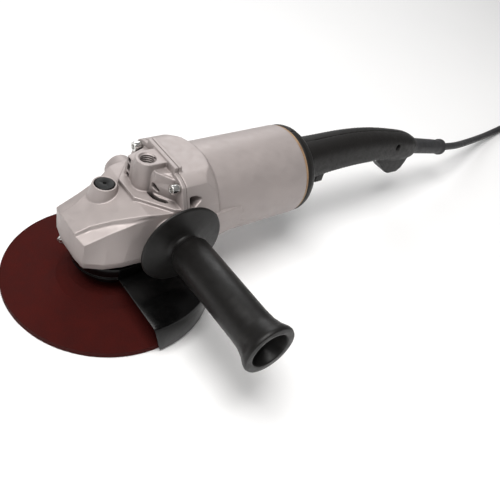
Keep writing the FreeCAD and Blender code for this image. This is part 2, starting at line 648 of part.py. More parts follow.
# ---- motor
def make_armature():
    z = motor_axis_z
    rear_journal = rear_bearing_x
    keep("armature_shaft", spin([
        (0, 10), (shaft_end_radius, 10), (shaft_end_radius, shoulder_x), (shaft_radius, shoulder_x),
        (shaft_radius, rear_journal), (shaft_end_radius, rear_journal),
        (shaft_end_radius, rear_journal + rear_bearing_width + 1), (0, rear_journal + rear_bearing_width + 1)],
        X, 0, z))
    core_end = core_front_x + core_length
    core = tube(X, armature_radius, shaft_radius, core_front_x, core_end, 0, z)
    slots = []
    for i in range(12):
        slot = box(core_front_x - 1, core_end + 1, -0.9, 0.9, z + armature_radius - 6, z + armature_radius + 2)
        slot.rotate(Vector(0, 0, z), X, 30 * i)
        slots.append(slot)
    keep("armature_core", core.cut(slots))
    front = spin([(shaft_radius, core_front_x - 9), (14, core_front_x - 9), (19.5, core_front_x - 5),
                  (19.5, core_front_x), (shaft_radius, core_front_x)], X, 0, z)
    rear = spin([(shaft_radius, core_end), (19.5, core_end), (18, core_end + 8),
                 (commutator_radius, commutator_front_x), (shaft_radius, commutator_front_x)], X, 0, z)
    keep("armature_windings", Part.makeCompound([front, rear]))
    commutator = tube(X, commutator_radius, shaft_radius, commutator_front_x,
                      commutator_front_x + commutator_length, 0, z)
    grooves = []
    for i in range(24):
        groove = box(commutator_front_x + 2, commutator_front_x + 30, -0.25, 0.25,
                     z + commutator_radius - 1, z + commutator_radius + 1)
        groove.rotate(Vector(0, 0, z), X, 15 * i)
        grooves.append(groove)
    keep("commutator", commutator.cut(grooves))
    fan_rear_x = fan_front_x + fan_depth
    hub = tube(X, 12, shaft_radius, fan_front_x, fan_rear_x, 0, z)
    disc = tube(X, fan_radius, 11, fan_rear_x - 2, fan_rear_x, 0, z)
    blades = []
    for i in range(14):
        blade = box(fan_front_x + 1, fan_rear_x - 1, -0.9, 0.9, z + 17, z + fan_radius - 0.5)
        blade.rotate(Vector(0, 0, z + 17), X, 22)
        blade.rotate(Vector(0, 0, z), X, 360.0 * i / 14)
        blades.append(blade)
    inside = cyl(X, fan_radius, fan_front_x, fan_rear_x, 0, z)
    keep("cooling_fan", fuse(hub, disc, *[b.common(inside) for b in blades]))


def make_field():
    z = motor_axis_z
    core_end = core_front_x + core_length
    bore = armature_radius + air_gap
    ring = tube(X, barrel_bore - 0.1, 31, core_front_x - 2, core_end + 2, 0, z)
    shoe = tube(X, 31.5, bore, core_front_x - 2, core_end + 2, 0, z)
    window = box(core_front_x - 5, core_end + 5, -60, 60, z - 13, z + 13)
    keep("stator_core", fuse(ring, shoe.cut(window)))
    coil = tube(X, 30.7, bore + 0.4, core_front_x - 9, core_end + 10, 0, z)
    sides = coil.common(box(core_front_x - 10, core_end + 11, -60, 60, z - 12.6, z + 12.6))
    ends = []
    for x0, x1 in ((core_front_x - 9, core_front_x - 2.2), (core_end + 2.2, core_end + 10)):
        ends.append(tube(X, 30.7, bore + 0.4, x0, x1, 0, z))
    coils = fuse(sides, *ends)
    split = box(0, 200, -60, 60, z - 0.4, z + 0.4)
    keep("field_coils", coils.cut(split))
    keep("fan_shroud", tube(X, barrel_bore - 0.1, 26, fan_front_x + fan_depth + 1.2,
                            fan_front_x + fan_depth + 3.2, 0, z))


def make_bearings_and_brushes():
    z = motor_axis_z
    ring = tube(X, front_bearing_radius, shaft_radius + bearing_gap, front_bearing_x,
                front_bearing_x + front_bearing_width, 0, z)
    keep("front_bearing", ring.cut(tube(X, 13, 9.5, front_bearing_x - 1, front_bearing_x + 1, 0, z)))
    cap_x = front_bearing_x + front_bearing_width + face_gap
    keep("front_bearing_cap", tube(X, front_opening_radius - 0.5, 9, cap_x, cap_x + 2, 0, z))
    rear_end = rear_bearing_x + rear_bearing_width
    keep("rear_bearing", tube(X, rear_bearing_radius, shaft_end_radius + bearing_gap, rear_bearing_x,
                              rear_end, 0, z))
    wall_x = rear_end + 1.5
    cup = tube(X, 15, rear_bearing_radius + bearing_gap, rear_bearing_x - 1, wall_x + 2, 0, z)
    disc = tube(X, barrel_bore - 0.1, 14, wall_x, wall_x + 2.5, 0, z)
    windows = []
    for a in (45, 135, 225, 315):
        y, dz = round_place(27, a)
        windows.append(cyl(X, 7, wall_x - 1, wall_x + 4, y, z + dz))
    arms = []
    holders = []
    brushes = []
    springs = []
    for s in (-1, 1):
        low, high = sorted((s * 16.0, s * 33.0))
        arms.append(box(brush_x + 10.7, wall_x + 1, low + 2, high - 2, z - 8, z + 8))
        holder = box(brush_x, brush_x + 10.5, low, high, z - 6.5, z + 6.5)
        channel = box(brush_x + 1.5, brush_x + 9, low - 1, high + 1, z - 5.2, z + 5.2)
        holders.append(holder.cut(channel))
        low, high = sorted((s * (commutator_radius + 0.1), s * 28.0))
        brushes.append(box(brush_x + 1.7, brush_x + 8.8, low, high, z - 5, z + 5))
        low, high = sorted((s * 28.2, s * 32.8))
        springs.append(tube(Y, 3.2, 2.2, low, high, brush_x + 5.25, z))
    body = cut(fuse(cup, disc), *windows)
    keep("brush_carrier", fuse(body, *arms))
    keep("brush_holders", Part.makeCompound(holders))
    keep("carbon_brushes", Part.makeCompound(brushes))
    keep("brush_springs", Part.makeCompound(springs))


# ---- rear handle: (x, bottom z, top z, half width) of each section
handle_stations = [
    (196.0, 58.0, 105.0, 20.5), (212.0, 62.5, 104.4, 18.4), (236.0, 64.8, 104.0, 17.4),
    (262.0, 65.2, 103.2, 17.0), (294.0, 64.0, 100.2, 16.6), (328.0, 60.5, 94.2, 15.8),
    (356.0, 54.5, 87.6, 15.0), (373.0, 51.5, 82.5, 13.8), (386.0, 52.0, 76.0, 11.2)]


def handle_section(x, low, high, half_width, inset):
    """Superellipse-like closed curve in the plane x, slightly squarer than an ellipse."""
    mid = (low + high) / 2
    h = (high - low) / 2 - inset
    w = half_width - inset
    points = []
    for i in range(24):
        a = math.radians(15 * i)
        c = math.copysign(abs(math.cos(a)) ** 0.72, math.cos(a))
        s = math.copysign(abs(math.sin(a)) ** 0.72, math.sin(a))
        points.append(Vector(x, w * c, mid + h * s))
    curve = Part.BSplineCurve()
    curve.interpolate(Points=points, PeriodicFlag=True)
    return Part.Wire([curve.toShape()])


def handle_body(inset, first=0, last=None):
    stations = handle_stations[first:last]
    return Part.makeLoft([handle_section(*s, inset) for s in stations], True, False)


def hook_block(half_width, inset):
    outline = [(320, 66), (327, 57), (333, 52.2), (347, 40), (353, 37), (368, 36), (374.5, 40.5), (378, 49),
               (381, 62)]
    mid = Vector(352, 0, 56)
    points = []
    for x, z in outline:
        p = Vector(x, -half_width, z)
        points.append(p - (Vector(x, 0, z) - mid).normalize() * inset)
    return prism(points, Y * (2 * half_width))


def make_rear_handle():
    z = motor_axis_z
    front = handle_datum_x + gasket_thickness
    r = bell_front_radius
    bell = spin([(0, front), (r, front), (r, front + 4), (r - 1.5, front + 8), (r - 5, front + 12.5),
                 (r - 11, front + 17), (r - 18, front + 21), (r - 24, front + 26), (0, front + 26)], X, 0, z)
    t = handle_shell
    bell_void = spin([(0, front - 1), (r - t, front - 1), (r - t, front + 5), (r - t - 6, front + 12),
                      (r - t - 13, front + 17), (r - t - 20, front + 22), (0, front + 22)], X, 0, z)
    grip = handle_body(0)
    nose = box(230, 240.5, -8, 8, 53.5, 70)
    hook = hook_block(10.5, 0)
    hook_edges = [e for e in hook.Edges if abs(e.tangentAt(e.FirstParameter).y) < 0.1]
    hook = hook.makeFillet(2.5, hook_edges)
    outer = fuse(bell, grip, nose, hook)
    void = handle_body(t, 0, 7)
    slot = box(trigger_front_x - 0.6, trigger_rear_x + 0.6, -trigger_half_width - 0.4,
               trigger_half_width + 0.4, 55, switch_bottom_z - 1)
    seat = lead_cylinder(guard_root_radius + 0.1, -4, 26)
    lead = lead_cylinder(6.0, -30, 10)
    nose_slot = box(231.2, 242.6, -4.2, 4.2, 50, 74)
    shell = outer.cut([bell_void, void])
    solid_grip = handle_body(0.5)
    inner = [box(x, x + 2.5, -17, 17, 74, 94) for x in (249.0, 280.0)]
    inner += [cyl(Y, 4.2, -20, 20, x, h) for x, h in handle_screw_places[:4]]
    shell = shell.fuse([piece.common(solid_grip) for piece in inner])
    holes = [slot, seat, lead, nose_slot, box(248, 284, -9.1, 9.1, switch_bottom_z - 0.1, 91.1),
             cyl(Y, trigger_pin_radius + sliding_gap, -12.6, 12.6, *trigger_pivot),
             cyl(Y, lever_pin_radius + sliding_gap, -7.1, 7.1, *lever_pivot)]
    holes += [cyl(Z, 1.5 + sliding_gap, clamp_bar_z - 1, 72.1, clamp_x, s * 7.5) for s in (-1, 1)]
    holes.append(box(clamp_x - 4.3, clamp_x + 4.3, -10.3, 10.3, clamp_bar_z - 2.3, clamp_bar_z + 3.6))
    for x, h in handle_screw_places:
        side = -1 if (x, h) == near_screw_place else 1
        holes.append(cyl(Y, 1.6, *sorted((side * 30, side * -9.1)), x, h))
        holes.append(cyl(Y, 3.6, *sorted((side * 30, side * 7.5)), x, h))
    outer = shell.cut(holes)
    left = outer.common(box(170, 400, -60, 0, 0, 140))
    right = outer.common(box(170, 400, 0, 60, 0, 140))
    keep("rear_handle_left", left)
    keep("rear_handle_right", right)


def make_handle_inside():
    keep("handle_screws", Part.makeCompound([
        socket_screw(Y, 3.0, 2.6, 1.55, -7.5, 9.0, x, h) if (x, h) == near_screw_place
        else socket_screw(Y, 3.0, 2.6, 1.55, 7.5, -9.0, x, h) for x, h in handle_screw_places]))
    switch = box(248.2, 283.8, -9, 9, switch_bottom_z, 91)
    keep("switch_body", switch)
    front, rear = trigger_front_x, trigger_rear_x
    outline = [(front, 62.6), (262, 62.8), (294, 61.5), (rear - 2, 59.9), (rear, 62), (rear, 69.5),
               (rear - 10, 70.5), (front + 4, 71), (front, 69)]
    w = trigger_half_width
    paddle = prism([Vector(x, -w, z) for x, z in outline], Y * (2 * w))
    edges = [e for e in paddle.Edges if abs(e.tangentAt(e.FirstParameter).y) < 0.1 and e.BoundBox.ZMax < 63]
    paddle = paddle.makeFillet(1.5, edges)
    paddle = paddle.cut(cyl(Y, trigger_pin_radius + sliding_gap, -w - 1, w + 1, *trigger_pivot))
    keep("trigger", paddle)
    keep("trigger_pin", cyl(Y, trigger_pin_radius, -12.5, 12.5, *trigger_pivot))
    keep("trigger_spring", helix_spring(3.2, 0.45, 71.0, switch_bottom_z, 4, Vector(262, 0, 0)))
    outline = [(233.5, 70.5), (233.5, 64), (234.6, 54.5), (236, 51), (238.4, 54.5), (239.4, 64), (239.4, 70.5)]
    lever = prism([Vector(x, -3.9, z) for x, z in outline], Y * 7.8)
    keep("lock_off_lever", lever.cut(cyl(Y, lever_pin_radius + sliding_gap, -5, 5, *lever_pivot)))
    keep("lock_off_pin", cyl(Y, lever_pin_radius, -7, 7, *lever_pivot))
    top = clamp_bar_z + 3.5
    bar = box(clamp_x - 4, clamp_x + 4, -10, 10, clamp_bar_z, top)
    for s in (-1, 1):
        bar = bar.cut(cyl(Z, 1.6, clamp_bar_z - 1, top + 1, clamp_x, s * 7.5))
    keep("cord_clamp", bar.cut(lead_cylinder(cord_diameter / 2 + 0.02, -28, 0)))
    keep("cord_clamp_screws", Part.makeCompound([
        socket_screw(Z, 2.4, 2.0, 1.5, clamp_bar_z, 72.0, clamp_x, s * 7.5) for s in (-1, 1)]))


def lead_cylinder(radius, start, end):
    """Cylinder along the cord's line through the handle, measured from the cord guard's root."""
    root = Vector(guard_tube_start[0], 0, guard_tube_start[1])
    along = (Vector(guard_tube_end[0], 0, guard_tube_end[1]) - root).normalize()
    return Part.makeCylinder(radius, end - start, root + along * start, along)


def make_cord_guard():
    start = Vector(guard_tube_start[0], 0, guard_tube_start[1])
    end = Vector(guard_tube_end[0], 0, guard_tube_end[1])
    along = (end - start).normalize()
    length = (end - start).Length
    r = guard_root_radius
    c = cord_diameter / 2
    profile = [(c, 0), (r, 0), (r, 12), (9.2, 16), (8.6, length - 9), (9.0, length - 6), (9.8, length - 4.5),
               (9.8, length - 1.5), (9.0, length), (c, length)]
    guard = spin(profile, X)
    guard.Placement = FreeCAD.Placement(start, FreeCAD.Rotation(X, along))
    keep("cord_guard", guard)
    keep("cord_lead", lead_cylinder(c, -28, length))


# ---- power cord: the stretch to the coil, the coil, the short end and the plug
cord_route = [
    (457.5, 0.0, 46.8), (492.0, 2.0, 39.2), (529.0, 10.0, 30.2), (576.0, 20.5, 19.8), (629.0, 32.0, 9.6),
    (684.0, 42.5, 3.5), (740.0, 48.3, 3.5)]
cord_end_route = [(750.0, -78.5, 12.1), (724.0, -79.4, 13.4), (698.0, -82.0, 16.0)]
plug_rear = cord_end_route[-1]
plug_radius = 17.0
plug_length = 58.0
plug_pin_radius = 2.4
plug_pin_pitch = 19.0
plug_pin_length = 19.0


def cord_tube(route, name):
    """Straight runs joined by tangent arcs; each arc is as large as its two runs allow."""
    points = [Vector(*p) for p in route]
    edges = []
    last = points[0]
    radii = []
    for before, here, after in zip(points, points[1:], points[2:]):
        a = (before - here).normalize()
        b = (after - here).normalize()
        turn = math.pi - a.getAngle(b)
        reach = 0.45 * min((before - here).Length, (after - here).Length)
        radii.append(reach / math.tan(turn / 2))
        start = here + a * reach
        stop = here + b * reach
        bisector = (a + b).normalize()
        radius = radii[-1]
        middle = here + bisector * (radius / math.cos(turn / 2) - radius)
        edges.append(Part.LineSegment(last, start).toShape())
        edges.append(Part.Arc(start, middle, stop).toShape())
        last = stop
    edges.append(Part.LineSegment(last, points[-1]).toShape())
    path = Part.Wire(edges)
    circle = Part.Wire([Part.makeCircle(cord_diameter / 2, points[0], points[1] - points[0])])
    solid = path.makePipeShell([circle], True, False)
    section = math.pi * cord_diameter ** 2 / 4
    print(name, "length", round(path.Length, 1), "radii", [round(r) for r in radii],
          "volume share", round(solid.Volume / (section * path.Length), 4))
    keep(name, solid)
    return path.Length


def make_cord():
    tube_length = cord_tube(cord_route, "power_cord") + cord_tube(cord_end_route, "power_cord_end")
    half = cord_diameter / 2
    top = floor_z + cord_diameter + coil_layer_step * (coil_layers - 1)
    cx, cy = coil_centre
    outer = max(coil_radii) + half
    inner = min(coil_radii) - half
    coil = spin([(inner, floor_z + 2), (inner + 2, floor_z), (outer - 2, floor_z), (outer, floor_z + 2),
                 (outer, floor_z + cord_diameter), (outer - half, top), (inner + half, top),
                 (inner, floor_z + cord_diameter)], Z, cx, cy)
    keep("cord_coil", coil)
    lower = sum(2 * math.pi * r for r in coil_radii)
    upper = sum(2 * math.pi * (r + half) * share for r, share in zip(coil_radii, (1, 1, 0.52)))
    print("cord length", round(tube_length + lower + upper))


def make_plug():
    x, y, z = plug_rear
    half = cord_diameter / 2
    tip = x - plug_length
    keep("plug_body", spin([
        (0, x), (half + 1.2, x), (half + 2.2, x - 14), (half + 3.2, x - 24), (12, x - 29), (plug_radius, x - 38),
        (plug_radius, tip + 1.5), (plug_radius - 1.5, tip), (0, tip)], X, y, z))
    pins = [cyl(X, plug_pin_radius, tip - plug_pin_length, tip, y + s * plug_pin_pitch / 2, z) for s in (-1, 1)]
    keep("plug_pins", Part.makeCompound(pins))


# ---- side handle
def make_side_handle():
    face = -handle_boss_reach
    seat = face - 2.4
    x, z = handle_boss_x, handle_boss_z
    d, e, g, f = side_disc_y, side_end_y, side_grip_radius, side_flare_radius
    stud_end = seat - 38
    keep("side_handle_washer", tube(Y, 12.0, thread_radius + 0.2, seat, face, x, z))
    keep("side_handle_stud", cyl(Y, thread_radius - thread_gap, stud_end, face + handle_hole_depth - 1, x, z))
    keep("side_handle_grip", spin([
        (thread_radius, seat), (13, seat), (14, d + 0.7), (side_disc_radius - 2, d + 0.3),
        (side_disc_radius, d - 0.6), (side_disc_radius, d - 1.8), (side_disc_radius - 1.2, d - 2.8),
        (16.5, d - 3.8), (12.8, d - 6), (12.8, d - 9), (15.2, d - 11.5), (g, d - 14.5), (g, e + 27),
        (g + 0.6, e + 17), (g + 2.4, e + 10), (f - 0.5, e + 4.5), (f, e + 2), (f - 0.7, e), (15.8, e),
        (14.2, e + 6), (11.5, e + 14), (0, e + 14), (0, stud_end - 0.5), (thread_radius, stud_end - 0.5)],
        Y, x, z))


def main():
    make_wheel_parts()
    make_spindle_parts()
    make_gears()
    make_gear_housing()
    make_bearing_box()
    make_head_screws()
    make_spindle_lock()
    make_guard()
    make_motor_housing()
    make_armature()
    make_field()
    make_bearings_and_brushes()
    make_rear_handle()
    make_handle_inside()
    make_cord_guard()
    make_cord()
    make_plug()
    make_side_handle()
    for name in rear_nodes:
        nodes[name].translate(X * (barrel_rear_x - handle_datum_x))
    for name, shape in nodes.items():
        solids = len(shape.Solids)
        if not shape.isValid() or solids == 0:
            print("CHECK", name, "valid", shape.isValid(), "solids", solids)
        shape.exportStep("parts/" + name + ".step")
    print(len(nodes), "nodes")


main()
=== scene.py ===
import json
import math

import bmesh
import bpy
from mathutils import Matrix, Vector
from mathutils.bvhtree import BVHTree


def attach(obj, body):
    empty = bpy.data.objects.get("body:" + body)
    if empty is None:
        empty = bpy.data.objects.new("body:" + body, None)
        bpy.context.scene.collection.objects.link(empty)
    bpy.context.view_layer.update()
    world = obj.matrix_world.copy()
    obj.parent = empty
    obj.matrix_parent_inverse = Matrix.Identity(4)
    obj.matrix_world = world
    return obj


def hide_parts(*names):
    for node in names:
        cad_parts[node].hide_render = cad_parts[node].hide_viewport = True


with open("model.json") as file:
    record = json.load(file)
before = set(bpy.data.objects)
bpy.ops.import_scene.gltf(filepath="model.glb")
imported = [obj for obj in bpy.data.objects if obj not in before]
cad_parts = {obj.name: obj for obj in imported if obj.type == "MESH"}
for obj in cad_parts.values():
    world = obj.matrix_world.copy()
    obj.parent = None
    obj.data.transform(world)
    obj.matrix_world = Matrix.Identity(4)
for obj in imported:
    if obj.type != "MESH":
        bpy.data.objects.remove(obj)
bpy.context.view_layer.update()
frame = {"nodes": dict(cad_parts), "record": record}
nodes = frame["nodes"]
print("frame loaded:", len(nodes), "nodes")

# ---- camera
cameraValues = {
    "position": (-0.21401, -0.34784, 0.41700),
    "right": (0.7821, -0.5800, 0.2277),
    "up": (0.2625, 0.6381, 0.7239),
    "lens": 45.46,
    "sensor": 36.0,
}


def makeCamera(v):
    right = Vector(v["right"]).normalized()
    back = right.cross(Vector(v["up"])).normalized()
    up = back.cross(right)
    data = bpy.data.cameras.new("camera")
    data.lens = v["lens"]
    data.sensor_width = v["sensor"]
    data.clip_start = 0.01
    camera = bpy.data.objects.new("camera", data)
    bpy.context.scene.collection.objects.link(camera)
    camera.matrix_world = Matrix.Translation(v["position"]) @ Matrix((right, up, back)).transposed().to_4x4()
    bpy.context.scene.camera = camera


makeCamera(cameraValues)
print("camera placed")

# ---- power cord: the loose stretch, the wound coil and the short end at the plug are one cord
cordValues = {
    "route": [(0.4575, 0, 0.0468), (0.492, 0.002, 0.0392), (0.529, 0.010, 0.0302), (0.576, 0.0205, 0.0198),
              (0.629, 0.032, 0.0096), (0.684, 0.0425, 0.0035)],
    "end": [(0.750, -0.0785, 0.0121), (0.724, -0.0794, 0.0134), (0.698, -0.082, 0.016)],
    "diameter": 0.009,
    "length": 2.467,
    "coilCentre": (0.750, -0.017),
    "lowerRadii": (0.066, 0.057, 0.048, 0.039),
    "upperRadii": (0.0435, 0.0525, 0.0615),
    "lowerHeight": 0.0035,
    "upperHeight": 0.0121,
    "startAngle": 96.0,
    "turnsInAll": 6.5,
    "pointsPerTurn": 20,
    "stepOver": 60.0,
    "climbLead": 0.6,
}


def easeBetween(a, b, share):
    share = min(1.0, max(0.0, share))
    return a + (b - a) * share * share * (3 - 2 * share)


def coilPoints(v):
    radii = v["lowerRadii"] + v["upperRadii"]
    lowerTurns = len(v["lowerRadii"])
    step = 360 / v["pointsPerTurn"]
    outward = 1 / math.cos(math.radians(step / 2))  # the curve runs inside its control points
    points = []
    for i in range(round(v["turnsInAll"] * v["pointsPerTurn"])):
        along = i * step
        turn = int(along // 360)
        left = 360 - along % 360
        following = radii[min(turn + 1, len(radii) - 1)]
        radius = easeBetween(following, radii[turn], left / v["stepOver"])
        height = v["lowerHeight"] if turn < lowerTurns else v["upperHeight"]
        if turn == lowerTurns - 1:
            share = left / v["stepOver"] - v["climbLead"]  # the climb to the upper layer leads the step over
            height = easeBetween(v["upperHeight"], v["lowerHeight"], share)
        angle = math.radians(v["startAngle"] - along)
        points.append((v["coilCentre"][0] + radius * outward * math.cos(angle),
                       v["coilCentre"][1] + radius * outward * math.sin(angle), height))
    return points


def makeCord(v):
    points = v["route"] + coilPoints(v) + v["end"]
    curve = bpy.data.curves.new("powerCord", "CURVE")
    curve.dimensions = "3D"
    spline = curve.splines.new("NURBS")
    spline.points.add(len(points) - 1)
    for target, p in zip(spline.points, points):
        target.co = (*p, 1)
        target.radius = v["diameter"] / 2  # the points carry the cord's radius
    spline.order_u = 3
    spline.use_endpoint_u = True
    spline.resolution_u = 6
    curve.bevel_depth = 1.0
    curve.bevel_resolution = 6
    curve.use_fill_caps = True
    cord = bpy.data.objects.new("powerCord", curve)
    bpy.context.scene.collection.objects.link(cord)
    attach(cord, "housing")
    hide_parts("power_cord", "power_cord_end", "cord_coil")
    return cord


powerCord = makeCord(cordValues)
print("power cord laid and coiled")


# ---- node helpers for the finishes
class Finish:
    def __init__(self, name):
        self.material = bpy.data.materials.new(name)
        self.material.use_nodes = True
        self.tree = self.material.node_tree
        self.shader = self.tree.nodes["Principled BSDF"]
        self.place = self.add("ShaderNodeTexCoord").outputs["Object"]

    def add(self, kind, **values):
        node = self.tree.nodes.new(kind)
        for key, value in values.items():
            if hasattr(node, key):
                setattr(node, key, value)
            else:
                node.inputs[key.replace("_", " ")].default_value = value
        return node

    def join(self, source, target):
        self.tree.links.new(source, target)
        return target.node

    def noise(self, scale, detail=4.0, roughness=0.55):
        node = self.add("ShaderNodeTexNoise", Scale=scale, Detail=detail, Roughness=roughness)
        self.join(self.place, node.inputs["Vector"])
        return node.outputs["Fac"]

    def cells(self, scale):
        node = self.add("ShaderNodeTexVoronoi", Scale=scale)
        self.join(self.place, node.inputs["Vector"])
        return node.outputs["Distance"]

    def ramp(self, source, *stops):
        node = self.add("ShaderNodeValToRGB")
        elements = node.color_ramp.elements
        while len(elements) < len(stops):
            elements.new(0.5)
        for element, (position, colour) in zip(elements, stops):
            element.position = position
            element.color = (*colour, 1)
        self.join(source, node.inputs["Fac"])
        return node.outputs["Color"]

    def spread(self, source, low, high, fromLow=0.3, fromHigh=0.7):
        node = self.add("ShaderNodeMapRange", From_Min=fromLow, From_Max=fromHigh, To_Min=low, To_Max=high)
        self.join(source, node.inputs["Value"])
        return node.outputs["Result"]

    def mixed(self, factor, first, second, way="MIX"):
        node = self.add("ShaderNodeMix", data_type="RGBA", blend_type=way)
        if isinstance(factor, (int, float)):
            node.inputs[0].default_value = factor
        else:
            self.join(factor, node.inputs[0])
        for value, socket in ((first, node.inputs[6]), (second, node.inputs[7])):
            if isinstance(value, tuple):
                socket.default_value = (*value, 1)
            else:
                self.join(value, socket)
        return node.outputs[2]

    def sum(self, first, second, operation="ADD"):
        node = self.add("ShaderNodeMath", operation=operation)
        for value, socket in ((first, node.inputs[0]), (second, node.inputs[1])):
            if isinstance(value, (int, float)):
                socket.default_value = value
            else:
                self.join(value, socket)
        return node.outputs[0]

    def bump(self, height, distance, strength=1.0, rounding=0.0):
        node = self.add("ShaderNodeBump", Distance=distance, Strength=strength)
        self.join(height, node.inputs["Height"])
        if rounding:
            edge = self.add("ShaderNodeBevel", samples=4, Radius=rounding)
            self.join(edge.outputs["Normal"], node.inputs["Normal"])
        self.join(node.outputs["Normal"], self.shader.inputs["Normal"])

    def colour(self, source):
        self.join(source, self.shader.inputs["Base Color"])

    def rough(self, source):
        self.join(source, self.shader.inputs["Roughness"])


def metalFinish(name, dark, light, roughness, grain=900, grainDepth=0.00004, rounding=0.0004, metallic=1.0,
                patch=35, paintedShadeReach=0.0):
    f = Finish(name)
    patches = f.noise(patch, 5)
    surface = f.ramp(patches, (0.3, dark), (0.7, light))
    if paintedShadeReach:  # painted shade: the base colour is darkened in deep corners and hollows by the occlusion node
        hollow = f.add("ShaderNodeAmbientOcclusion", samples=8, Distance=paintedShadeReach)
        shade = f.ramp(hollow.outputs["AO"], (0.12, (0.03, 0.028, 0.027)), (0.45, (0.6, 0.58, 0.57)),
                       (0.8, (1, 1, 1)))
        surface = f.mixed(f.spread(f.noise(90), 0.92, 1.0), surface, shade, "MULTIPLY")
    f.colour(surface)
    f.rough(f.spread(f.noise(patch * 4, 4), roughness * 0.85, roughness * 1.2))
    f.shader.inputs["Metallic"].default_value = metallic
    f.bump(f.noise(grain, 3, 0.6), grainDepth, 1.0, rounding)
    return f.material


def plasticFinish(name, dark, light, roughness, grain=1400, grainDepth=0.00003, rounding=0.0004, patch=60,
                  gloss=0.3):
    f = Finish(name)
    patches = f.noise(patch, 5)
    f.colour(f.ramp(patches, (0.3, dark), (0.72, light)))
    f.rough(f.spread(f.noise(patch * 3, 4), roughness * 0.85, roughness * 1.18))
    f.shader.inputs["Specular IOR Level"].default_value = gloss
    f.bump(f.cells(grain), grainDepth, 1.0, rounding)
    return f.material


def abrasiveFinish():
    f = Finish("resinAbrasive")
    patches = f.noise(60, 6, 0.65)
    base = f.ramp(patches, (0.25, (0.036, 0.0035, 0.0026)), (0.5, (0.045, 0.0046, 0.0034)),
                  (0.78, (0.056, 0.0064, 0.0048)))
    bright = f.ramp(f.noise(2600, 2, 0.7), (0.42, (0.75, 0.75, 0.75)), (0.66, (1.55, 1.4, 1.35)))
    grains = f.mixed(1.0, base, bright, "MULTIPLY")
    f.colour(f.mixed(f.spread(f.noise(500, 2), 0.35, 0.8), base, grains))
    f.rough(f.spread(patches, 0.72, 0.9))
    f.shader.inputs["Specular IOR Level"].default_value = 0.12
    height = f.sum(f.noise(1500, 3, 0.7), f.sum(f.noise(350, 3), 0.6, "MULTIPLY"))
    f.bump(height, 0.00035)
    return f.material


def coilFinish(name, dark, light):
    f = Finish(name)
    wire = f.add("ShaderNodeTexWave", wave_type="RINGS", rings_direction="X", Scale=420, Distortion=0.6)
    f.join(f.place, wire.inputs["Vector"])
    f.colour(f.ramp(wire.outputs["Fac"], (0.2, dark), (0.7, light)))
    f.shader.inputs["Metallic"].default_value = 0.7
    f.rough(f.spread(f.noise(90), 0.28, 0.45))
    f.bump(wire.outputs["Fac"], 0.0002)
    return f.material


def laminatedFinish(name):
    f = Finish(name)
    sheets = f.add("ShaderNodeTexWave", wave_type="BANDS", bands_direction="X", Scale=320, Distortion=0.1)
    f.join(f.place, sheets.inputs["Vector"])
    f.colour(f.ramp(sheets.outputs["Fac"], (0.2, (0.12, 0.12, 0.13)), (0.7, (0.33, 0.33, 0.35))))
    f.shader.inputs["Metallic"].default_value = 0.9
    f.rough(f.spread(f.noise(120), 0.35, 0.5))
    f.bump(sheets.outputs["Fac"], 0.00012)
    return f.material


